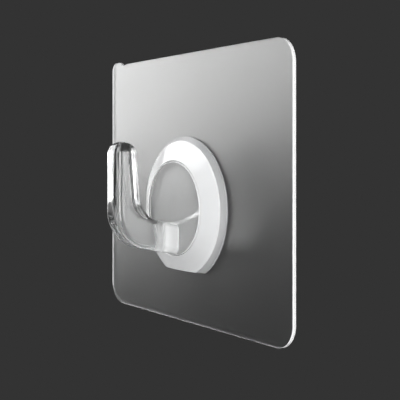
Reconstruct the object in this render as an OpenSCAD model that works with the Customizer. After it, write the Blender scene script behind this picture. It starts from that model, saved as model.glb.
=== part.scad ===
// Clear adhesive wall hook. A clear plate sticks to the wall by the adhesive on its back, which a
// thin liner covers until the hook is put up. Film, adhesive and liner are cut as one, with a small
// tab at a corner where the peel starts. A bevelled collar, bonded to the front of the plate, traps
// the flanged foot of a clear J-shaped hook.
// Lengths are in millimetres. The wall is the plane y = 0, the hook points along -Y and +Z is up.

/* [Plate] */
// Width of the plate
plate_w = 70; // [56:1:100]
// Height of the plate
plate_h = 60; // [50:1:90]
// Radius of the plate's plain corners
plate_corner_r = 5; // [3:0.5:8]
// Thickness of the clear backing film
film_t = 0.5; // [0.3:0.1:1.5]
// Thickness of the adhesive coat
adhesive_t = 0.2; // [0.1:0.05:0.6]
// Thickness of the release liner
liner_t = 0.1; // [0.05:0.05:0.3]

/* [Peel tab] */
// Width of the tab's top, from the plate's left edge
tab_w = 3.6; // [3:0.1:6]
// How far the tab stands above the plate's top edge
tab_rise = 0.6; // [0.3:0.1:2]
// Radius of the tab's outer corner
tab_corner_r = 1.9; // [0.8:0.1:2.4]
// Slope at which the tab runs back into the plate, in degrees
tab_slope = 30; // [25:1:42]
// Radius of the plate's corner beside the tab, which makes the notch between them
tab_relief_r = 8; // [6:0.5:10]

/* [Collar] */
// Width of the collar's cone, seen from the front
cone_w = 4.4; // [3.8:0.1:6]
// Width of the bevel outside the cone, seen from the front
bevel_w = 1; // [0.6:0.1:2]
// Height of the collar's straight edge above the film
rim_h = 0.35; // [0.2:0.05:0.8]
// Height of the shoulder between the outer bevel and the cone, above the film
shoulder_h = 1.3; // [1.1:0.1:2]
// Height of the base's front face above the film
base_h = 3.5; // [3.2:0.1:5]
// How far the base's centre lies below the plate's centre
base_drop = 4.5; // [0:0.1:8]
// How far the base's centre lies left of the plate's centre
base_left = 1.3; // [0:0.1:4]
// Depth of the flat cut from the underside of the collar's round rim
flat_cut = 2.1; // [0.5:0.1:2.4]
// Width of the collar's rim on the film, around the bond pad
rim_w = 2.2; // [1.6:0.1:2.6]

/* [Hook foot] */
// Diameter of the foot's front face
face_d = 20.8; // [17:0.2:26]
// Width of the flange that the collar traps
flange_w = 1.6; // [1:0.1:2]
// Thickness of that flange
flange_t = 1.3; // [0.8:0.1:1.5]
// Width of the flange at the flat that keys it, under the face
key_w = 0.6; // [0.3:0.1:0.9]
// Thickness of the bond pad under the foot
pad_t = 0.4; // [0.2:0.05:0.6]
// Clearance between the foot or the pad and the collar around it
seat_gap = 0.1; // [0.05:0.05:0.2]
// Chamfer on the foot's front edge and on the collar's mouth
mouth_chamfer = 0.2; // [0.1:0.05:0.4]

/* [Hook arm] */
// Width of the arm, side to side
arm_w = 5.2; // [4:0.2:7]
// Rounding of the arm's long edges on its top and inside
top_edge_r = 1; // [0.4:0.1:1.5]
// Rounding of the arm's long edges on its underside and outside
under_edge_r = 1.6; // [0.6:0.1:2.4]
// Height of the arm's root on the face
root_h = 6.4; // [5:0.1:8]
// Distance from the arm's underside at the root to the face's lower edge
root_margin = 0.3; // [0.3:0.1:1.5]
// Slope of the arm's top, in degrees
top_slope = 15.5; // [10:0.5:24]
// Slope of the arm's underside, in degrees
under_slope = 11.5; // [8:0.5:22]
// Gap between the front face and the upright
throat = 9.5; // [8:0.1:18]
// Thickness of the upright above the bend
upright_t = 6; // [4.5:0.1:8]
// Thickness of the upright below its rounded top
upright_top_t = 5.3; // [4:0.1:6]
// Radius of the bend on the inside of the hook
inner_bend_r = 5.7; // [3:0.1:7]
// Radius of the bend on the outside of the hook
outer_bend_r = 8.5; // [6:0.5:10]
// Height of the upright's top above the foot's centre
tip_rise = 14.6; // [11:0.2:24]
// Height of the upright's rounded top
dome_h = 2.6; // [1:0.1:3]

/* [Hidden] */
$fn = 96;

// Overrun of every cut past the face that it leaves
cut_over = 1;
// Depth of the arm's end inside the foot
root_depth = 1;

// Distance from the wall to the film's front face
stack_t = liner_t + adhesive_t + film_t;
// Radii of the foot, and of the collar around it
face_r = face_d / 2;
flange_r = face_r + flange_w;
bore_r = face_r + seat_gap;
shoulder_r = bore_r + cone_w;
collar_r = shoulder_r + bevel_w;
recess_r = collar_r - rim_w;
// Drops from the base's centre to the flats at its lower side, and to the arm's root
key_drop = face_r + key_w;
flat_drop = collar_r - flat_cut;
recess_drop = flat_drop - rim_w;
root_under_drop = face_r - root_margin;
root_top_drop = root_under_drop - root_h;
// Height of the flange's front above the film
flange_top = pad_t + flange_t;

// Points on each round edge of the arm's section, and stations along its bend and its top
edge_steps = 6;
bend_steps = 16;
dome_steps = 8;
// Share of a quarter turn that the rounded top goes through before its small flat
dome_share = 0.86;
// Share of half the arm's width or depth that the rounding of its edges may take
edge_limit_share = 0.94;

// Sheet and disc shapes

// What is cut from a square corner to round it. The corner points towards [side_x, side_y].
module corner_waste(corner, side_x, side_y, r) {
    translate([corner[0] - side_x * r, corner[1] - side_y * r])
        difference() {
            translate([side_x, side_y] * (r + cut_over) / 2)
                square(r + cut_over, center = true);
            circle(r);
        }
}

// Outline of the plate without its tab, with the larger corner beside it
module plate_outline() {
    difference() {
        square([plate_w, plate_h], center = true);
        for (side_x = [-1, 1], side_y = [-1, 1]) {
            by_tab = side_x < 0 && side_y > 0;
            corner_waste(
                [side_x * plate_w, side_y * plate_h] / 2, side_x, side_y,
                by_tab ? tab_relief_r : plate_corner_r
            );
        }
    }
}

// Outline of the tab, flush with the plate's left edge. It runs on past the plate's round corner.
module tab_outline() {
    left = -plate_w / 2;
    top = plate_h / 2 + tab_rise;
    run = tab_relief_r + tab_rise;
    difference() {
        polygon([
            [left, top],
            [left + tab_w, top],
            [left + tab_w + run, top - run * tan(tab_slope)],
            [left, plate_h / 2 - tab_relief_r - tab_w]
        ]);
        corner_waste([left, top], -1, 1, tab_corner_r);
    }
}

// A sheet of the plate with its tab, its back a stated distance in front of the wall
module plate_sheet(thickness, from_wall) {
    translate([0, -from_wall, 0])
        rotate([90, 0, 0]) {
            linear_extrude(thickness)
                plate_outline();
            linear_extrude(thickness)
                tab_outline();
        }
}

// Places what follows on the film at the base's centre: x is right, y is up and z is outwards
module on_film() {
    translate([-base_left, -stack_t, -base_drop])
        rotate([90, 0, 0])
            children();
}

// A disc with a flat at the stated drop below its centre
module flat_disc(r, drop, thickness) {
    difference() {
        cylinder(r = r, h = thickness);
        translate([-r - cut_over, -drop - r, -cut_over])
            cube([2 * (r + cut_over), r, thickness + 2 * cut_over]);
    }
}

// The hook's arm: sections set between two rails, one along its top and inside, one along its
// underside and outside. A rail is a sloping line, an arc and an upright, as [out, up] points.

// Where a rail's sloping line would meet the line of its upright
function rail_corner(out, root_drop, slope) = [out, (out - base_h) * tan(slope) - root_drop];

// The point of a rail's arc at a share of its turn
function bend_point(corner, slope, r, turn_share) =
    let (
        reach = r * tan((90 - slope) / 2),
        start = corner - reach * [cos(slope), sin(slope)],
        centre = start + r * [-sin(slope), cos(slope)],
        heading = slope + turn_share * (90 - slope)
    )
    centre + r * [sin(heading), -cos(heading)];

// A whole rail, from inside the foot to the height where the top starts to round
function rail(corner, slope, r, lean) =
    let (root_out = base_h - root_depth)
    concat(
        [[root_out, corner[1] - (corner[0] - root_out) * tan(slope)]],
        [for (i = [0 : bend_steps]) bend_point(corner, slope, r, i / bend_steps)],
        [[corner[0] + lean, tip_rise - dome_h]]
    );

inner_rail = rail(
    rail_corner(base_h + throat, root_top_drop, top_slope),
    top_slope, inner_bend_r, upright_t - upright_top_t
);
outer_rail = rail(
    rail_corner(base_h + throat + upright_t, root_under_drop, under_slope),
    under_slope, outer_bend_r, 0
);

// A rectangle with round corners between two rail points, scaled about its middle and raised
function section(inner, outer, scale, raise) =
    let (
        middle = (inner + outer) / 2,
        depth = norm(outer - inner),
        along = (outer - inner) / depth,
        r_limit = edge_limit_share * min(arm_w, depth) / 2
    )
    [for (quarter = [0 : 3], i = [0 : edge_steps])
        let (
            turn = 90 * (quarter + i / edge_steps),
            side_x = quarter == 0 || quarter == 3 ? 1 : -1,
            side_d = quarter < 2 ? 1 : -1,
            r = min(quarter < 2 ? under_edge_r : top_edge_r, r_limit),
            x = side_x * (arm_w / 2 - r) + r * cos(turn),
            d = side_d * (depth / 2 - r) + r * sin(turn),
            place = middle + scale * d * along
        )
        [scale * x, place[1] + raise, place[0]]
    ];

// Every section of the arm in order: along the rails, then shrinking over the rounded top
function arm_sections() =
    let (last = len(inner_rail) - 1)
    concat(
        [for (i = [0 : last]) section(inner_rail[i], outer_rail[i], 1, 0)],
        [for (i = [1 : dome_steps])
            let (turn = 90 * dome_share * i / dome_steps)
            section(inner_rail[last], outer_rail[last], cos(turn), dome_h * sin(turn) / sin(90 * dome_share))
        ]
    );

// A closed skin over sections that have the same number of points
module loft(sections) {
    count = len(sections[0]);
    last = len(sections) - 1;
    points = [for (s = sections) each s];
    sides = [for (i = [0 : last - 1], j = [0 : count - 1])
        let (
            a = i * count + j,
            b = i * count + (j + 1) % count
        )
        each [[a, b, b + count], [a, b + count, a + count]]
    ];
    first_cap = [for (j = [count - 1 : -1 : 0]) j];
    last_cap = [for (j = [0 : count - 1]) last * count + j];
    polyhedron(points, concat(sides, [first_cap], [last_cap]));
}

// Sub-parts, from the wall outwards

module release_liner() {
    color([0.86, 0.89, 0.92, 0.5])
        plate_sheet(liner_t, 0);
}

module adhesive_layer() {
    color([0.9, 0.91, 0.9, 0.5])
        plate_sheet(adhesive_t, liner_t);
}

module backing_film() {
    color([0.82, 0.85, 0.88, 0.5])
        plate_sheet(film_t, liner_t + adhesive_t);
}

module bond_pad() {
    color([0.88, 0.88, 0.86, 0.6])
        on_film()
            flat_disc(recess_r - seat_gap, recess_drop - seat_gap, pad_t);
}

module base_collar() {
    color([0.95, 0.95, 0.96, 0.8])
        on_film()
            difference() {
                rotate_extrude()
                    polygon([
                        [0, 0],
                        [collar_r, 0],
                        [collar_r, rim_h],
                        [shoulder_r, shoulder_h],
                        [bore_r, base_h],
                        [0, base_h]
                    ]);
                // Flat underside of the base
                translate([-collar_r, -flat_drop - collar_r, -cut_over])
                    cube([2 * collar_r, collar_r, base_h + 2 * cut_over]);
                // Recess for the bond pad, seat for the foot's flange, and the mouth
                translate([0, 0, -cut_over])
                    flat_disc(recess_r, recess_drop, pad_t + cut_over);
                flat_disc(flange_r + seat_gap, key_drop + seat_gap, flange_top);
                cylinder(r = bore_r, h = base_h + cut_over);
                translate([0, 0, base_h - mouth_chamfer])
                    cylinder(r1 = bore_r, r2 = bore_r + mouth_chamfer, h = mouth_chamfer);
            }
}

module hook() {
    color([0.92, 0.95, 0.97, 0.55])
        on_film() {
            translate([0, 0, pad_t])
                flat_disc(flange_r, key_drop, flange_t);
            translate([0, 0, flange_top])
                cylinder(r = face_r, h = base_h - flange_top - mouth_chamfer);
            translate([0, 0, base_h - mouth_chamfer])
                cylinder(r1 = face_r, r2 = face_r - mouth_chamfer, h = mouth_chamfer);
            loft(arm_sections());
        }
}

release_liner();
adhesive_layer();
backing_film();
bond_pad();
base_collar();
hook();
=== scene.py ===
# %% [markdown]
# # A clear adhesive wall hook, as a lesson
#
# The object is a thin clear plate that sticks to a wall, with a bevelled round base on its front
# and a clear J-shaped hook that stands out of the base. Every piece here is a surface worked out
# with numpy: rings of points, one after the other, joined by quads. The solid model gives the
# frame, and each surface is laid where the solid of its piece is, to a tenth of a millimetre.

import bmesh
import bpy
import numpy as np
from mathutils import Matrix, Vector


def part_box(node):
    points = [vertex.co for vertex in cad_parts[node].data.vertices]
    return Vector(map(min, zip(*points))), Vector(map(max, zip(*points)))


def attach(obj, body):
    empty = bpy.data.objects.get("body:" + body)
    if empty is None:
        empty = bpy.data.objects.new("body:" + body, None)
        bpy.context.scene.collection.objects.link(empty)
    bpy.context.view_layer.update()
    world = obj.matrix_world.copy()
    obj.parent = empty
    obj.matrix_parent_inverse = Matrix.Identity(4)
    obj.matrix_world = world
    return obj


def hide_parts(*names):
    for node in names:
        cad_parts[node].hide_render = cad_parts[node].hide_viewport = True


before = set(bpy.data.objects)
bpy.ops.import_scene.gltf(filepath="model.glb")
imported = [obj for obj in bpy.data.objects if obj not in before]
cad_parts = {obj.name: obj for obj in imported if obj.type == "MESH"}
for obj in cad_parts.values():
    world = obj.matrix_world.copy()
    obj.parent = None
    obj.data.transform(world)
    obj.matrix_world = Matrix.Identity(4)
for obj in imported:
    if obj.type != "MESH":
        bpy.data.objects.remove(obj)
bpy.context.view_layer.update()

MM = 0.001
print("nodes:", sorted(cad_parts))

# %% [markdown]
# ## The camera
#
# The photograph looks at the plate from its right, level with it, a little above its middle.
# A camera could be turned by hand until the picture fits. Here its place comes from four plain
# facts instead: how far round it stands, how far away, how far to the side, and how high. The
# lens is set so that the plate fills the same part of a square picture, and a small downward
# shift keeps the uprights upright, as a shift lens does.

# %% Place the camera
sheet_low, sheet_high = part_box("backing_film")
film_front = sheet_low.y

camera_turn = np.radians(55.23)
camera_distance = 186.52 * MM
camera_side = 2.497 * MM
camera_height = 7.213 * MM

camera_data = bpy.data.cameras.new("camera")
camera_data.sensor_width = 36
camera_data.lens = 75.49
camera_data.shift_y = -0.112
camera_data.clip_start = 0.005
camera_data.clip_end = 10
camera = bpy.data.objects.new("camera", camera_data)
away = np.array([np.sin(camera_turn), -np.cos(camera_turn)])
beside = np.array([np.cos(camera_turn), np.sin(camera_turn)])
camera_x, camera_y = camera_distance * away + camera_side * beside
camera.location = (camera_x, film_front + camera_y, camera_height)
camera.rotation_euler = (np.pi / 2, 0, camera_turn)
bpy.context.scene.collection.objects.link(camera)
bpy.context.scene.camera = camera
bpy.context.scene.view_settings.view_transform = "Standard"
print("camera at mm:", [round(v / MM, 1) for v in camera.location])

# %% [markdown]
# ## From arrays to a mesh
#
# Most of the pieces are stacks of closed rings with the same number of points. Primitives and
# modifiers could make some of them, but rings keep every point where its formula puts it. One
# helper joins neighbouring rings with quads, closes the two ends with a flat face, and turns the
# faces outwards. Edges sharper than a set angle stay crisp, and everything else shades smoothly.

# %% Helpers that turn rings into a piece
sharp_angle = np.radians(38)


def ring_quads(rows, columns, wrap_rows=False):
    """Quads of a stack of rings: point k and k + 1 of a ring, then k + 1 and k of the next ring."""
    last = rows if wrap_rows else rows - 1
    here = np.arange(last)[:, None] * columns
    after = (np.arange(1, last + 1) % rows)[:, None] * columns
    k = np.arange(columns)[None, :]
    k_next = (k + 1) % columns
    return np.stack([here + k, here + k_next, after + k_next, after + k], axis=-1).reshape(-1, 4)


def finished_piece(name, mesh):
    """Turns the faces outwards, shades them smooth with crisp edges, and links the object."""
    work = bmesh.new()
    work.from_mesh(mesh)
    bmesh.ops.recalc_face_normals(work, faces=work.faces)
    work.to_mesh(mesh)
    work.free()
    mesh.shade_smooth()
    mesh.set_sharp_from_angle(angle=sharp_angle)
    piece = bpy.data.objects.new(name, mesh)
    bpy.context.scene.collection.objects.link(piece)
    return piece


def ring_piece(name, rings):
    """A closed piece from rings of points, an array of rows by columns by 3, with flat ends."""
    rows, columns = rings.shape[:2]
    faces = ring_quads(rows, columns).tolist()
    faces.append(list(range(columns)))
    faces.append(list(range((rows - 1) * columns, rows * columns)))
    mesh = bpy.data.meshes.new(name)
    mesh.from_pydata(rings.reshape(-1, 3).tolist(), [], faces)
    return finished_piece(name, mesh)


print("edges stay crisp past degrees:", round(np.degrees(sharp_angle)))


# %% Helpers that dress a piece
def face_values(piece, name):
    """One vector for each face of a piece: its normal or its center."""
    values = np.empty(3 * len(piece.data.polygons))
    piece.data.polygons.foreach_get(name, values)
    return values.reshape(-1, 3)


def set_finishes(piece, numbers):
    """Gives each face of a piece the finish with that number, counted from 0."""
    piece.data.polygons.foreach_set("material_index", numbers.astype(np.int32))


def dress(piece, body, node, slot, *finishes):
    """Gives a piece its finishes and its body, and hides the node that it stands for.

    The slot argument is not used.
    """
    for finish in finishes:
        piece.data.materials.append(finish)
    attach(piece, body)
    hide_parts(node)
    bpy.context.view_layer.update()
    size = [round(d / MM, 2) for d in piece.dimensions]
    print(f"{piece.name}: {len(piece.data.polygons)} faces, {size} mm")


# %% [markdown]
# ## Finishes
#
# All the plastics are clear or milky. A Glass shader would do for the clear ones, but one
# Principled shader goes from clear to milky with a single value, its transmission. What makes
# them look real is small: roughness that changes a little from place to place where hands and
# moulds have been, and a very shallow waviness in the surface. Both come from noise on the
# object's own coordinates, so they stay put on the piece.

# %% A helper for plastics
cloud_width = 2
cloud_detail = 3
cloud_low, cloud_high = 0.3, 0.7


def plastic(name, tints, roughness, wave, values):
    """A Principled finish. Noise mixes two tints and two roughnesses, and waves the surface.

    wave is (size, depth): the width of a ripple and its height, in metres. The clouds of tint
    and roughness are cloud_width times as wide as a ripple. values holds the sockets that are
    the same all over.
    """
    finish = bpy.data.materials.new(name)
    finish.use_nodes = True
    nodes, links = finish.node_tree.nodes, finish.node_tree.links
    shader = nodes["Principled BSDF"]
    for socket, value in values.items():
        shader.inputs[socket].default_value = value
    place = nodes.new("ShaderNodeTexCoord")
    cloud = nodes.new("ShaderNodeTexNoise")
    cloud.inputs["Scale"].default_value = 1 / (cloud_width * wave[0])
    cloud.inputs["Detail"].default_value = cloud_detail
    links.new(place.outputs["Object"], cloud.inputs["Vector"])
    tint = nodes.new("ShaderNodeMix")
    tint.data_type = "RGBA"
    tint.inputs["A"].default_value = (*tints[0], 1)
    tint.inputs["B"].default_value = (*tints[1], 1)
    links.new(cloud.outputs["Fac"], tint.inputs["Factor"])
    links.new(tint.outputs["Result"], shader.inputs["Base Color"])
    spread = nodes.new("ShaderNodeMapRange")
    spread.inputs["From Min"].default_value = cloud_low
    spread.inputs["From Max"].default_value = cloud_high
    spread.inputs["To Min"].default_value = roughness[0]
    spread.inputs["To Max"].default_value = roughness[1]
    links.new(cloud.outputs["Fac"], spread.inputs["Value"])
    links.new(spread.outputs["Result"], shader.inputs["Roughness"])
    ripple = nodes.new("ShaderNodeTexNoise")
    ripple.inputs["Scale"].default_value = 1 / wave[0]
    links.new(place.outputs["Object"], ripple.inputs["Vector"])
    bump = nodes.new("ShaderNodeBump")
    bump.inputs["Strength"].default_value = 1
    bump.inputs["Distance"].default_value = wave[1]
    links.new(ripple.outputs["Fac"], bump.inputs["Height"])
    links.new(bump.outputs["Normal"], shader.inputs["Normal"])
    return finish


# %% [markdown]
# ## The clear sheets
#
# The plate is three sheets on top of each other: the clear backing film, the clear adhesive on
# its back, and the thin liner that covers the adhesive. One die stamps all three, so their rims
# are flush, and at the top left it leaves a small tab where the peel starts. A cube with bevelled
# corners would do for a plain plate. Here the outline is arcs joined by straight lines, so the
# tab is a few more points of the same line, and a sheet is that outline set in by small steps
# over a rounded edge.

# %% Outline of the plate
half_w = (sheet_high.x - sheet_low.x) / 2
half_h = -sheet_low.z
corner_r = 5 * MM
tab_w = 3.6 * MM
tab_rise = sheet_high.z - half_h
tab_corner_r = 1.9 * MM
tab_slope = np.radians(30)
relief_r = 8 * MM
corner_steps = 25
relief_steps = 9
tip_steps = 13


def arc(centre, r, angles):
    """Points of an arc: the centre plus the radius times the cosine and sine of each angle."""
    return centre + r * np.stack([np.cos(angles), np.sin(angles)], axis=-1)


def plain_corner(side_x, side_z, start, inset):
    """A quarter arc about the point that lies one corner radius in from both edges."""
    centre = np.array([side_x * (half_w - corner_r), side_z * (half_h - corner_r)])
    return arc(centre, corner_r - inset, start + np.linspace(0, np.pi / 2, corner_steps))


def tab_corner(inset):
    """The tab, from the plate's top edge round to its left edge.

    The tab's slope meets the plate's own larger arc where its distance from the arc's centre is
    the arc's radius, which is the nearer root of a quadratic along the slope.
    """
    corner = np.array([-half_w, half_h])
    centre = corner + [relief_r, -relief_r]
    shoulder = corner + [tab_w - inset * np.tan(tab_slope / 2), tab_rise - inset]
    along = np.array([np.cos(tab_slope), -np.sin(tab_slope)])
    offset = shoulder - centre
    half_b = along @ offset
    reach = -half_b - np.sqrt(half_b**2 - offset @ offset + (relief_r - inset)**2)
    meet = offset + reach * along
    notch_angle = np.arctan2(meet[1], meet[0])
    relief = arc(centre, relief_r - inset, np.linspace(np.pi / 2, notch_angle, relief_steps))
    tip_centre = corner + [tab_corner_r, tab_rise - tab_corner_r]
    tip = arc(tip_centre, tab_corner_r - inset, np.linspace(np.pi / 2, np.pi, tip_steps))
    return np.concatenate([relief, [shoulder], tip])


def plate_outline(inset):
    """The plate's outline moved in by an inset, as [x, z] points."""
    return np.concatenate([
        plain_corner(1, 1, 0, inset),
        tab_corner(inset),
        plain_corner(-1, -1, np.pi, inset),
        plain_corner(1, -1, 1.5 * np.pi, inset),
    ])


print("outline points:", len(plate_outline(0)))

# %% A sheet with that outline
edge_steps = 5
flat_start = 4
rim_lean = 0.4
back_lean = 0.9


def upright(flat, y):
    """Outlines [x, z] set at a depth y for each ring."""
    depth = np.broadcast_to(y[:, None], flat.shape[:2])
    return np.stack([flat[..., 0], depth, flat[..., 1]], axis=-1)


def mark_sides(piece, painted_highlight_w):
    """The first finish goes on the front, the second on the back and the third on the rim.

    A face's normal tells where it lies: it leans mostly backwards on the back, and sideways on
    the rim's left and right runs, which are frosted. So is a strip of the front beside the left
    run, a painted highlight that draws the bright line along the plate's left edge. The rim's top
    and bottom are clear like the front.
    """
    normals = face_values(piece, "normal")
    # The frosted strip of the front beside the left run is a painted highlight along the left edge.
    painted_highlight_strip = face_values(piece, "center")[:, 0] < painted_highlight_w - half_w
    frosted = (np.abs(normals[:, 0]) > rim_lean) | painted_highlight_strip
    set_finishes(piece, np.where(normals[:, 1] > back_lean, 1, np.where(frosted, 2, 0)))


def sheet_piece(name, front, back, edge_r, painted_highlight_w=0.0):
    """A sheet between two depths. Its rim is a quarter round, a straight wall and a quarter round.

    One more ring lies flat_start edge radii in on both sides, so that the flat faces shade flat.
    """
    turn = np.linspace(0, np.pi / 2, edge_steps)
    inset = edge_r * (1 - np.sin(turn))
    dip = edge_r * (1 - np.cos(turn))
    flat = [flat_start * edge_r]
    insets = np.concatenate([flat, inset, inset[::-1], flat])
    depths = np.concatenate([[front], front + dip, back - dip[::-1], [back]])
    outlines = np.stack([plate_outline(step) for step in insets])
    piece = ring_piece(name, upright(outlines, depths))
    mark_sides(piece, painted_highlight_w)
    return piece


# %% [markdown]
# ## Finishes of the sheets
#
# A sheet of clear plastic reflects at its front and at its back. Where adhesive wets a face, that
# face reflects next to nothing, because light hardly notices the change. One finish for all the
# faces would be simpler, but the plate would then look like three panes. So only the front of
# the film and the back of the adhesive bend the light, and the faces in between are wetted. The
# liner is so thin that it bends next to nothing and has only a light sheen. The plate then looks
# right with the liner on, and also with it off. The left and right rims are finely frosted and
# white, and the top and bottom rims are clear. A strip of the film's front beside its left rim is
# frosted too, as a painted highlight: the bright line along the plate's left edge.

# %% Clear, wetted and frosted
film_clear = plastic(
    "film_clear", tints=[(0.98, 0.985, 0.99), (0.99, 0.995, 0.995)], roughness=(0.285, 0.315),
    wave=(20 * MM, 0.002 * MM), values={"Transmission Weight": 1, "IOR": 1.5},
)
wetted = plastic(
    "wetted", tints=[(0.985, 0.985, 0.98), (0.995, 0.995, 0.99)], roughness=(0.03, 0.06),
    wave=(3 * MM, 0.0005 * MM), values={"Transmission Weight": 1, "IOR": 1.02},
)
gel_back = plastic(
    "gel_back", tints=[(0.975, 0.985, 0.99), (0.99, 0.995, 1)], roughness=(0.03, 0.06),
    wave=(12 * MM, 0.003 * MM), values={"Transmission Weight": 1, "IOR": 1.5},
)
liner_sheen = {"Coat Weight": 0.3, "Coat IOR": 1.5, "Coat Roughness": 0.05}
liner_clear = plastic(
    "liner_clear", tints=[(0.975, 0.985, 0.99), (0.99, 0.995, 1)], roughness=(0.03, 0.06),
    wave=(12 * MM, 0.003 * MM), values={"Transmission Weight": 1, "IOR": 1.02, **liner_sheen},
)
cut_rim = plastic(
    "cut_rim", tints=[(0.93, 0.94, 0.95), (0.98, 0.98, 0.98)], roughness=(0.5, 0.7),
    wave=(0.4 * MM, 0.02 * MM), values={"Transmission Weight": 0.25, "IOR": 1.5},
)
print("finishes:", [m.name for m in (film_clear, wetted, gel_back, liner_clear, cut_rim)])

# %% The backing film
sheet_gap = 0.005 * MM
film_edge_r = 0.12 * MM
# Width of the frosted strip on the film's front by its left rim, a painted highlight.
film_painted_highlight_w = 0.4 * MM
film_back = sheet_high.y - sheet_gap
film = sheet_piece("clear_film_sheet", sheet_low.y, film_back, film_edge_r, film_painted_highlight_w)
dress(film, "hook_unit", "backing_film", "clear_film", film_clear, wetted, cut_rim)

# %% The adhesive
gel_low, gel_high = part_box("adhesive_layer")
gel_edge_r = 0.05 * MM
gel = sheet_piece("adhesive_gel", gel_low.y + sheet_gap, gel_high.y - sheet_gap, gel_edge_r)
dress(gel, "hook_unit", "adhesive_layer", "clear_gel", wetted, gel_back, cut_rim)

# %% The liner
liner_low, liner_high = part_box("release_liner")
liner_edge_r = 0.02 * MM
liner = sheet_piece("peel_liner", liner_low.y + sheet_gap, liner_high.y, liner_edge_r)
dress(liner, "liner", "release_liner", "liner_film", wetted, liner_clear, cut_rim)

# %% [markdown]
# ## Round pieces on the film
#
# The base is round, so its pieces are profiles turned about an axis that stands out of the film.
# A Screw modifier could turn them, but as arrays they can also be held up at a flat. A profile is
# a short list of corners, each with its own rounding, because no moulded edge is perfectly sharp
# and the rounding is what catches the light. The underside of the base is cut flat: the hidden
# steps are held up at their own flats, and a plane cuts the outer rim.

# %% Helpers for turned pieces
collar_low, collar_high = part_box("base_collar")
collar_r = (collar_high.x - collar_low.x) / 2
base_centre = np.array([collar_low.x + collar_r, film_front, collar_high.z - collar_r])
base_h = film_front - collar_low.y
turn_steps = 256
round_steps = 7
run_margin = 0.04


def with_runs(arcs):
    """Adds points close to both ends of each straight run, so that flat stretches shade flat."""
    run_shares = np.array([run_margin, 0.5, 1 - run_margin])[None, :, None]
    leave = arcs[:, -1:]
    arrive = np.roll(arcs[:, :1], -1, axis=0)
    return np.concatenate([arcs, leave + run_shares * (arrive - leave)], axis=1).reshape(-1, 2)


def rounded_loop(corners, radii):
    """A closed loop of corners with each one rounded.

    The arc of a corner touches both edges at radius / tan(half the corner's angle) from it, and
    is swept by weighting its two end directions with sines.
    """
    corners = np.asarray(corners, float)
    to_last = np.roll(corners, 1, axis=0) - corners
    to_next = np.roll(corners, -1, axis=0) - corners
    a = to_last / np.linalg.norm(to_last, axis=1, keepdims=True)
    b = to_next / np.linalg.norm(to_next, axis=1, keepdims=True)
    half = np.arccos(np.clip((a * b).sum(axis=1), -1, 1))[:, None] / 2
    radii = np.asarray(radii, float)[:, None]
    middle = (a + b) / np.linalg.norm(a + b, axis=1, keepdims=True)
    centres = corners + middle * radii / np.sin(half)
    start = corners + a * radii / np.tan(half) - centres
    end = corners + b * radii / np.tan(half) - centres
    sweep = (np.pi - 2 * half)[:, None]
    t = np.linspace(0, 1, round_steps)[None, :, None]
    turned = np.sin((1 - t) * sweep) * start[:, None] + np.sin(t * sweep) * end[:, None]
    return with_runs(centres[:, None] + turned / np.sin(sweep))


def turned_rings(profile, angles):
    """Rings of a profile [radius, height] turned about the base's axis, as [x, height, up]."""
    r, h = profile[:, :1], profile[:, 1:]
    flat = np.broadcast_to(h, (len(profile), len(angles)))
    return np.stack([r * np.cos(angles), flat, r * np.sin(angles)], axis=-1)


def on_film(local):
    """Local points [x, height over the film, up] at their place on the film."""
    return base_centre + local * [1, -1, 1]


all_round = np.linspace(0, 2 * np.pi, turn_steps, endpoint=False)
print("base radius and height in mm:", round(collar_r / MM, 2), round(base_h / MM, 2))

# %% [markdown]
# ## The bond pad
#
# Under the base lies a thin pad of bonding gel that holds the collar and the hook's foot to the
# film. It is milky, and the clear foot above it takes its pale grey from it. That grey could be
# the foot's own colour, but a pad also shows from behind, through the clear sheets. Its shader
# bends light more than a gel does, so that the face keeps a soft sheen.

# %% The bond pad
pad_low, pad_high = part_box("bond_pad")
pad_r = (pad_high.x - pad_low.x) / 2
pad_drop = base_centre[2] - pad_low.z
pad_t = film_front - pad_low.y
pad_gap = 0.01 * MM
pad_milky = plastic(
    "pad_milky", tints=[(0.95, 0.955, 0.96), (0.985, 0.985, 0.98)], roughness=(0.28, 0.34),
    wave=(2 * MM, 0.004 * MM), values={"Transmission Weight": 0.4, "IOR": 2.0},
)
pad_edge = np.array([
    [pad_r, pad_gap],
    [pad_r, pad_t - pad_gap],
])
pad_rings = turned_rings(pad_edge, all_round)
pad_rings[..., 2] = np.maximum(pad_rings[..., 2], -pad_drop)
pad = ring_piece("bond_gel_pad", on_film(pad_rings))
dress(pad, "hook_unit", "bond_pad", "clear_gel", pad_milky)

# %% [markdown]
# ## The collar
#
# The collar is a bevelled ring: a low rim on the film, a narrow bevel, then a long cone up to
# the mouth where the hook's face lies. Inside it is stepped, to trap the flange of the hook's
# foot. A cylinder with bevelled edges would be close, but the steps need a profile. It is moulded
# in the same clear plastic but with a satin mould, so it looks milky. The thin bevel and rim let
# more light through, so they have a clearer finish.

# %% Profile of the collar
bore_r = 10.5 * MM
bevel_w = 1 * MM
shoulder_r = collar_r - bevel_w
shoulder_h = 1.3 * MM
rim_h = 0.35 * MM
rim_w = 2.2 * MM
flat_drop = base_centre[2] - collar_low.z
mouth_chamfer = 0.2 * MM
flange_top = 1.7 * MM
seat_r = 12.1 * MM
seat_drop = 11.1 * MM
recess_r = collar_r - rim_w
recess_drop = flat_drop - rim_w
cone_fall = (base_h - shoulder_h) / (shoulder_r - bore_r)
mouth_w = mouth_chamfer / (1 + cone_fall)

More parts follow.
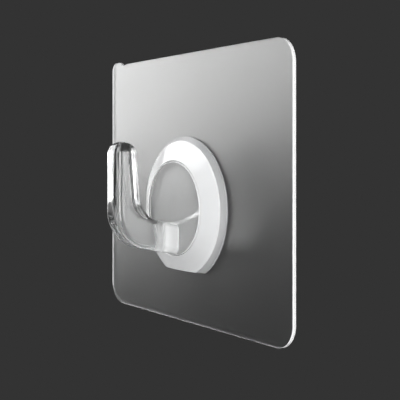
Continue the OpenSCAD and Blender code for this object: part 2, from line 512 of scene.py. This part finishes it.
collar_corners = [
    (collar_r, pad_gap),
    (collar_r, rim_h),
    (shoulder_r, shoulder_h),
    (bore_r + mouth_w, base_h - cone_fall * mouth_w),
    (bore_r, base_h - mouth_chamfer),
    (bore_r, flange_top),
    (seat_r, flange_top),
    (seat_r, pad_t),
    (recess_r, pad_t),
    (recess_r, pad_gap),
]
collar_rounds = np.array([0.05, 0.12, 0.3, 0.06, 0.05, 0.05, 0.1, 0.05, 0.1, 0.05]) * MM
collar_profile = rounded_loop(collar_corners, collar_rounds)
collar_rings = turned_rings(collar_profile, all_round)
in_seat = (collar_profile[:, 0] < seat_r + pad_gap) & (collar_profile[:, 1] < flange_top + pad_gap)
in_recess = (collar_profile[:, 0] < recess_r + pad_gap) & (collar_profile[:, 1] < pad_t + pad_gap)
step_drop = np.where(in_recess, recess_drop, np.where(in_seat, seat_drop, np.inf))
collar_rings[..., 2] = np.maximum(collar_rings[..., 2], -step_drop[:, None])
print("profile points:", len(collar_profile))

# %% The collar
cut_tolerance = 1e-8


def cut_flat(mesh, point, normal):
    """Cuts away what lies beyond a plane and closes the cut with one flat face."""
    work = bmesh.new()
    work.from_mesh(mesh)
    whole = work.verts[:] + work.edges[:] + work.faces[:]
    cut = bmesh.ops.bisect_plane(
        work, geom=whole, plane_co=point, plane_no=normal, clear_outer=True, dist=cut_tolerance)
    rim = [e for e in cut["geom_cut"] if isinstance(e, bmesh.types.BMEdge)]
    bmesh.ops.contextual_create(work, geom=rim)
    work.to_mesh(mesh)
    work.free()


def turned_piece(name, rings, flat_z):
    """A ring-shaped piece whose profile closes on itself, cut flat at a height."""
    rows, columns = rings.shape[:2]
    mesh = bpy.data.meshes.new(name)
    mesh.from_pydata(rings.reshape(-1, 3).tolist(), [], ring_quads(rows, columns, True).tolist())
    cut_flat(mesh, (0, 0, flat_z), (0, 0, -1))
    return finished_piece(name, mesh)


def mark_bevel(piece):
    """The second finish goes on faces whose middle lies farther out than the shoulder."""
    offset = face_values(piece, "center") - base_centre
    set_finishes(piece, np.hypot(offset[:, 0], offset[:, 2]) > shoulder_r)


collar_satin = plastic(
    "collar_satin", tints=[(0.9, 0.91, 0.92), (0.95, 0.955, 0.96)], roughness=(0.12, 0.2),
    wave=(3 * MM, 0.004 * MM), values={"Transmission Weight": 0.34, "IOR": 1.42},
)
bevel_clear = plastic(
    "bevel_clear", tints=[(0.93, 0.94, 0.95), (0.97, 0.97, 0.975)], roughness=(0.28, 0.34),
    wave=(3 * MM, 0.004 * MM), values={"Transmission Weight": 0.85, "IOR": 1.49},
)
collar = turned_piece("bevelled_collar", on_film(collar_rings), collar_low.z)
mark_bevel(collar)
dress(collar, "hook_unit", "base_collar", "collar_plastic", collar_satin, bevel_clear)

# %% [markdown]
# ## The hook
#
# The hook is one moulding: a round foot with a flange, and the J arm. The arm could be a curve
# with a bevel, but its depth changes along the way and its outer edges are rounder than its
# inner ones. So two rails are drawn first, one along the top and inside, one along the underside
# and outside, each a sloping line, an arc and an upright. A rounded rectangle is then set
# between every pair of rail points. The foot's rings and the arm's rings follow on from each
# other across the flat face, so the whole hook is one closed skin with nothing hidden inside,
# which clear plastic needs.

# %% Rails of the arm
hook_low, hook_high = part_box("hook")
hook_reach = film_front - hook_low.y
tip_rise = hook_high.z - base_centre[2]
face_r = 10.4 * MM
root_margin = 0.3 * MM
root_h = 6.4 * MM
top_slope = np.radians(15.5)
under_slope = np.radians(11.5)
inner_bend_r = 5.7 * MM
outer_bend_r = 8.5 * MM
upright_t = 6 * MM
upright_top_t = 5.3 * MM
dome_h = 2.6 * MM
root_under = root_margin - face_r
root_top = root_under + root_h
bend_steps = 49
line_steps = 24


def rail(out, root_up, slope, r, lean):
    """A rail as [out, up] points: a line up a slope, an arc that turns it upright, and a line up.

    The arc starts at radius times tan(half its turn) before the corner of the two lines.
    """
    corner = np.array([out, root_up + (out - base_h) * np.tan(slope)])
    reach = r * np.tan((np.pi / 2 - slope) / 2)
    start = corner - reach * np.array([np.cos(slope), np.sin(slope)])
    centre = start + r * np.array([-np.sin(slope), np.cos(slope)])
    heading = slope + np.linspace(0, 1, bend_steps) * (np.pi / 2 - slope)
    bend = centre + r * np.stack([np.sin(heading), -np.cos(heading)], axis=-1)
    root = np.array([base_h, root_up])
    top = np.array([out + lean, tip_rise - dome_h])
    slope_share = np.linspace(0, 1, line_steps, endpoint=False)[:, None]
    upright_share = np.linspace(0, 1, line_steps + 1)[1:, None]
    return np.concatenate([
        root + slope_share * (start - root),
        bend,
        bend[-1] + upright_share * (top - bend[-1]),
    ])


top_lean = upright_t - upright_top_t
inner_rail = rail(hook_reach - upright_t, root_top, top_slope, inner_bend_r, top_lean)
outer_rail = rail(hook_reach, root_under, under_slope, outer_bend_r, 0)
print("rail points:", len(inner_rail))

# %% Sections of the arm
arm_w = 5.2 * MM
top_edge_r = 1 * MM
under_edge_r = 1.6 * MM
edge_limit = 0.94
section_steps = 15
run_steps = 17


def sections(inner, outer, scale=1.0, raised=0.0, grow=0.0):
    """Rounded rectangles between rail points, as [x, out, up] rings.

    Each quarter is an arc about the rectangle's corner moved in by its radius. The two quarters
    on the outer rail are rounder. scale shrinks a ring about its middle, raised lifts it, and
    grow widens it most on the inner rail and not at all on the outer.
    """
    inner, outer = np.atleast_2d(inner), np.atleast_2d(outer)
    changes = (np.broadcast_to(change, len(inner)) for change in (scale, raised, grow))
    scale, raised, grow = (change[:, None, None] for change in changes)
    depth = np.linalg.norm(outer - inner, axis=1)[:, None, None]
    along = (outer - inner) / depth[:, 0]
    middle = (inner + outer) / 2
    side_x = np.array([1, -1, -1, 1])[None, :, None]
    side_d = np.array([1, 1, -1, -1])[None, :, None]
    r = np.where(side_d > 0, under_edge_r, top_edge_r)
    r = np.minimum(r, edge_limit * np.minimum(arm_w, depth) / 2)
    turn = (np.arange(4)[:, None] + np.linspace(0, 1, section_steps)) * np.pi / 2
    x = side_x * (arm_w / 2 - r) + r * np.cos(turn)
    d = side_d * (depth / 2 - r) + r * np.sin(turn)
    corners = np.stack([x, d], axis=-1)
    run_shares = np.linspace(run_margin, 1 - run_margin, run_steps)[None, None, :, None]
    leave, arrive = corners[:, :, -1:], np.roll(corners[:, :, :1], -1, axis=1)
    ring = np.concatenate([corners, leave + run_shares * (arrive - leave)], axis=2)
    ring = ring.reshape(len(inner), -1, 2) * scale
    fade = np.clip(0.5 - ring[..., 1:] / depth, 0, 1)
    ring = ring * (1 + 2 * grow * fade / arm_w)
    place = middle[:, None] + ring[..., 1:] * along[:, None]
    return np.stack([ring[..., 0], place[..., 0], place[..., 1] + raised[..., 0]], axis=-1)


print("section points:", sections(inner_rail[:1], outer_rail[:1]).shape[1])

# %% Rings of the arm
fillet_r = 0.4 * MM
fillet_steps = 7
dome_steps = 28


def arm_rings():
    """The arm's rings: a small fillet off the face, both rails, then a quarter ellipse to the tip."""
    turn = np.linspace(0, np.pi / 2, fillet_steps)[:-1]
    rise = fillet_r * (1 - np.cos(turn))
    inner_step = inner_rail[1] - inner_rail[0]
    outer_step = outer_rail[1] - outer_rail[0]
    inner_root = inner_rail[0] + rise[:, None] * inner_step / inner_step[0]
    outer_root = outer_rail[0] + rise[:, None] * outer_step / outer_step[0]
    root = sections(inner_root, outer_root, grow=fillet_r * (1 - np.sin(turn)))
    body = sections(inner_rail[1:], outer_rail[1:])
    over = np.linspace(0, np.pi / 2, dome_steps)[1:-1]
    inner_top = np.repeat(inner_rail[-1:], len(over), axis=0)
    outer_top = np.repeat(outer_rail[-1:], len(over), axis=0)
    dome = sections(inner_top, outer_top, scale=np.cos(over), raised=dome_h * np.sin(over))
    return np.concatenate([root, body, dome])


arm = arm_rings()
print("arm rings:", arm.shape)

# %% Rings of the foot
flange_r = 12 * MM
key_drop = 11 * MM
edge_round = 0.12 * MM
mouth_round = 0.02 * MM
face_round = 0.03 * MM
flange_rows = 4
face_shares = np.array([0, 0.01, 0.04, 0.15, 0.4, 0.7, 0.92, 0.98])[:, None, None]


def face_rings(outline, rim_r):
    """Rings across the flat face, from its round edge in to the arm's outline.

    From the middle of the outline, each outline point lies in a direction, and the edge of the
    face lies in the same direction at the farther root of a quadratic.
    """
    middle = (outline.max(axis=0) + outline.min(axis=0)) / 2
    offset = outline - middle
    far = offset / np.linalg.norm(offset, axis=1, keepdims=True)
    half_b = far @ middle
    reach = -half_b + np.sqrt(half_b**2 - middle @ middle + rim_r**2)
    edge = middle + reach[:, None] * far
    return edge + face_shares * (outline - edge)


root_outline = arm[0][:, [0, 2]]
face_flat = face_rings(root_outline, face_r - mouth_chamfer)
face_angles = np.arctan2(face_flat[0][:, 1], face_flat[0][:, 0])
face_out = np.full(face_flat.shape[:2], base_h)
face = np.stack([face_flat[..., 0], face_out, face_flat[..., 1]], axis=-1)
foot_profile = np.array([
    (flange_r - edge_round, pad_t),
    (flange_r, pad_t + edge_round),
    (flange_r, flange_top - edge_round - pad_gap),
    (flange_r - edge_round, flange_top - pad_gap),
    (face_r, flange_top - pad_gap),
    (face_r, base_h - mouth_chamfer - edge_round),
    (face_r - mouth_round, base_h - mouth_chamfer),
    (face_r - mouth_chamfer + face_round, base_h - face_round),
])
foot = turned_rings(foot_profile, face_angles)
foot[:flange_rows, :, 2] = np.maximum(foot[:flange_rows, :, 2], -key_drop)
print("foot and face rings:", len(foot) + len(face))

# %% [markdown]
# ## The hook's finish
#
# The arm and the face are polished and clear. Where the arm leaves the face, light piped from the
# base makes the clear plastic look white. Here that is painted light: the stretch is made milky,
# so less light is let through on it. It could be painted on the mesh as an attribute. A ramp along
# the depth needs only four stops and no paint. The narrow chamfer round the face is satin like the
# collar, a painted highlight that draws the fine bright line round the face. The foot's back lies
# wet on the bond pad, so it reflects next to nothing.

# %% Clear plastic with a root made milky, as painted light
# The milky stretch at the arm's root is painted light, standing in for light piped from the base.
face_clear = 0.98
painted_glow_clear = 0.5
arm_clear = 0.995
painted_glow_starts = 0.05 * MM
painted_glow_ends = 4.6 * MM
painted_glow_stops = [(0, face_clear), (0.04, painted_glow_clear), (0.7, painted_glow_clear), (1, arm_clear)]


def set_stops(ramp, stops):
    """Sets a colour ramp's stops from (position, grey) pairs that run upwards."""
    while len(ramp.elements) < len(stops):
        ramp.elements.new(0.5)
    for element, (position, grey) in zip(ramp.elements, stops):
        element.position = position
        element.color = (grey, grey, grey, 1)


def painted_glow_root(finish):
    """Lets light through by a ramp of the depth, from the face out to where the root ends."""
    nodes, links = finish.node_tree.nodes, finish.node_tree.links
    place = nodes.new("ShaderNodeTexCoord")
    split = nodes.new("ShaderNodeSeparateXYZ")
    links.new(place.outputs["Object"], split.inputs["Vector"])
    along = nodes.new("ShaderNodeMapRange")
    along.inputs["From Min"].default_value = film_front - base_h - painted_glow_starts
    along.inputs["From Max"].default_value = film_front - base_h - painted_glow_ends
    links.new(split.outputs["Y"], along.inputs["Value"])
    clearness = nodes.new("ShaderNodeValToRGB")
    set_stops(clearness.color_ramp, painted_glow_stops)
    links.new(along.outputs["Result"], clearness.inputs["Fac"])
    links.new(clearness.outputs["Color"], nodes["Principled BSDF"].inputs["Transmission Weight"])


hook_clear = plastic(
    "hook_clear", tints=[(0.97, 0.98, 0.985), (0.99, 0.995, 0.995)], roughness=(0.02, 0.05),
    wave=(2.5 * MM, 0.003 * MM), values={"IOR": 1.56},
)
# The root made milky here is a painted glow of light piped from the base.
painted_glow_root(hook_clear)
print("milky stretch in mm:", round((painted_glow_ends - painted_glow_starts) / MM, 2))

# %% The hook
level_play = 0.001 * MM


def mark_foot(piece):
    """The second finish goes on the narrow chamfer round the face, the third on the foot's back."""
    height = film_front - face_values(piece, "center")[:, 1]
    # The satin on the chamfer is a painted highlight: the bright line round the face.
    on_chamfer = (height > base_h - mouth_chamfer) & (height < base_h - level_play)
    on_back = height < pad_t + level_play
    set_finishes(piece, np.where(on_back, 2, np.where(on_chamfer, 1, 0)))


hook = ring_piece("clear_j_hook", on_film(np.concatenate([foot, face, arm])))
mark_foot(hook)
# The second finish here, satin on the chamfer, is a painted highlight round the face.
dress(hook, "hook_unit", "hook", "hook_plastic", hook_clear, collar_satin, wetted)

# %% [markdown]
# ## Backdrop and floor
#
# Clear plastic has hardly any colour of its own: it shows what is around it. The backdrop is an
# even dark grey. It could be a wall behind the hook, but a wall would catch light and shadow, so
# it is the world's colour. The camera sees it, and so do reflections and everything that is seen
# through the plastic. A pale floor lies well below the hook and lights its underside softly.

# %% Backdrop
backdrop_grey = 0.0331
room_grey = 0.05
world = bpy.data.worlds.new("studio")
bpy.context.scene.world = world
world.use_nodes = True
nodes, links = world.node_tree.nodes, world.node_tree.links
path = nodes.new("ShaderNodeLightPath")
seen = nodes.new("ShaderNodeMath")
seen.operation = "MAXIMUM"
links.new(path.outputs["Is Camera Ray"], seen.inputs[0])
links.new(path.outputs["Is Glossy Ray"], seen.inputs[1])
seen_through = nodes.new("ShaderNodeMath")
seen_through.operation = "MAXIMUM"
links.new(seen.outputs[0], seen_through.inputs[0])
links.new(path.outputs["Is Transmission Ray"], seen_through.inputs[1])
grey = nodes.new("ShaderNodeMapRange")
grey.inputs["To Min"].default_value = room_grey
grey.inputs["To Max"].default_value = backdrop_grey
links.new(seen_through.outputs[0], grey.inputs["Value"])
links.new(grey.outputs["Result"], nodes["Background"].inputs["Color"])
print("backdrop:", backdrop_grey)

# %% Floor
floor_z = -500 * MM
floor_r = 450 * MM
floor_steps = 96
floor_turn = np.linspace(0, 2 * np.pi, floor_steps, endpoint=False)
floor_rings = np.stack([arc(np.zeros(2), floor_r * share, floor_turn) for share in (1, 0.5)])
floor_level = np.full((*floor_rings.shape[:2], 1), floor_z)
floor_points = np.concatenate([floor_rings, floor_level], axis=-1).reshape(-1, 3)
floor_middle = list(range(floor_steps, 2 * floor_steps))
floor_mesh = bpy.data.meshes.new("floor")
floor_mesh.from_pydata(
    floor_points.tolist(), [], [*ring_quads(2, floor_steps).tolist(), floor_middle])
floor = bpy.data.objects.new("floor", floor_mesh)
bpy.context.scene.collection.objects.link(floor)
floor_mesh.materials.append(plastic(
    "pale_floor", tints=[(0.78, 0.78, 0.78), (0.82, 0.82, 0.82)], roughness=(0.7, 0.9),
    wave=(50 * MM, 0.05 * MM), values={},
))
print("floor at mm:", floor_z / MM)

# %% [markdown]
# ## Light panels
#
# Five soft panels light the hook. Area lamps could do it too, but a panel that is a mesh can be
# graded. The graded panel stands at the left, bright at its top and dark at its bottom, and the
# plate mirrors it, which is where the plate's grey slope comes from. The right panel lights the
# collar and the rim of the plate. The back panel is the sheen on the arm's side, the low one is
# the shine in the arm's round edges, and the left one lifts the far side a little. A panel lights
# every surface and shows in reflections, but a ray that came straight through clear plastic
# passes it by, so that no lamp is seen behind the sheets.

# %% Helpers for panels
def glow_finish(name, strength):
    """A glow for rays that crossed no clear face, or that were turned back on their way.

    All other rays pass: the share of glow is 1 where the transmission depth is 0, or where the
    glossy and diffuse depths add up to 1 or more.
    """
    finish = bpy.data.materials.new(name)
    finish.use_nodes = True
    nodes, links = finish.node_tree.nodes, finish.node_tree.links
    nodes.remove(nodes["Principled BSDF"])
    glow = nodes.new("ShaderNodeEmission")
    glow.inputs["Strength"].default_value = strength
    path = nodes.new("ShaderNodeLightPath")
    not_through = nodes.new("ShaderNodeMath")
    not_through.operation = "LESS_THAN"
    not_through.inputs[1].default_value = 0.5
    links.new(path.outputs["Transmission Depth"], not_through.inputs[0])
    turned_back = nodes.new("ShaderNodeMath")
    turned_back.operation = "ADD"
    links.new(path.outputs["Glossy Depth"], turned_back.inputs[0])
    links.new(path.outputs["Diffuse Depth"], turned_back.inputs[1])
    shown = nodes.new("ShaderNodeMath")
    shown.operation = "ADD"
    shown.use_clamp = True
    links.new(not_through.outputs[0], shown.inputs[0])
    links.new(turned_back.outputs[0], shown.inputs[1])
    clear = nodes.new("ShaderNodeBsdfTransparent")
    mix = nodes.new("ShaderNodeMixShader")
    links.new(shown.outputs[0], mix.inputs["Fac"])
    links.new(clear.outputs["BSDF"], mix.inputs[1])
    links.new(glow.outputs["Emission"], mix.inputs[2])
    links.new(mix.outputs["Shader"], nodes["Material Output"].inputs["Surface"])
    return finish


def grade(finish, stops, slant):
    """Grades a panel's glow by a ramp of its height share plus slant times its width share."""
    nodes, links = finish.node_tree.nodes, finish.node_tree.links
    place = nodes.new("ShaderNodeTexCoord")
    split = nodes.new("ShaderNodeSeparateXYZ")
    links.new(place.outputs["UV"], split.inputs["Vector"])
    tip = nodes.new("ShaderNodeMath")
    tip.operation = "MULTIPLY_ADD"
    tip.inputs[1].default_value = slant
    links.new(split.outputs["X"], tip.inputs[0])
    links.new(split.outputs["Y"], tip.inputs[2])
    shades = nodes.new("ShaderNodeValToRGB")
    set_stops(shades.color_ramp, stops)
    links.new(tip.outputs[0], shades.inputs["Fac"])
    links.new(shades.outputs["Color"], nodes["Emission"].inputs["Color"])


def panel(name, centre, width, height, strength):
    """A panel that faces the object: a glowing rectangle that the camera doesn't see.

    Its sides run level and square to that, both square to the line from the object to its centre.
    """
    centre = np.array(centre, float)
    out = centre / np.linalg.norm(centre)
    side = np.cross(out, [0, 0, 1])
    side /= np.linalg.norm(side)
    up = np.cross(side, out)
    corners = np.array([[-1, -1], [1, -1], [1, 1], [-1, 1]]) / 2
    points = centre + corners[:, :1] * width * side + corners[:, 1:] * height * up
    mesh = bpy.data.meshes.new(name)
    mesh.from_pydata(points.tolist(), [], [[0, 1, 2, 3]])
    uv = mesh.uv_layers.new(name="panel")
    uv.data.foreach_set("uv", (corners + 0.5).ravel())
    lamp = bpy.data.objects.new(name, mesh)
    bpy.context.scene.collection.objects.link(lamp)
    finish = glow_finish(name, strength)
    mesh.materials.append(finish)
    lamp.visible_camera = False
    print(f"{name}: {width / MM:.0f} by {height / MM:.0f} mm, strength {strength}")
    return finish


# %% The graded panel, where the plate mirrors it to the camera
grade_reach = 450 * MM
grade_x, grade_y = -grade_reach * np.array([np.sin(camera_turn), np.cos(camera_turn)])
grade_z = 120 * MM
grade_stops = [(0.35, 0), (0.4, 0.07), (0.44, 0.25), (0.487, 0.62), (0.505, 0.86), (0.525, 1)]
graded = panel(
    "graded_panel", (grade_x, grade_y, grade_z), width=520 * MM, height=720 * MM, strength=4.2)
grade(graded, grade_stops, slant=0.28)

# %% The plain panels
right_place = np.array([446, -193, 50]) * MM
left_place = np.array([-450, 10, -70]) * MM
back_place = np.array([380, 266, -60]) * MM
low_place = np.array([266, -380, -187]) * MM
panel("right_panel", right_place, width=220 * MM, height=440 * MM, strength=10.5)
panel("left_panel", left_place, width=220 * MM, height=300 * MM, strength=0.5)
panel("back_panel", back_place, width=300 * MM, height=380 * MM, strength=1.6)
panel("low_panel", low_place, width=240 * MM, height=240 * MM, strength=1.3)
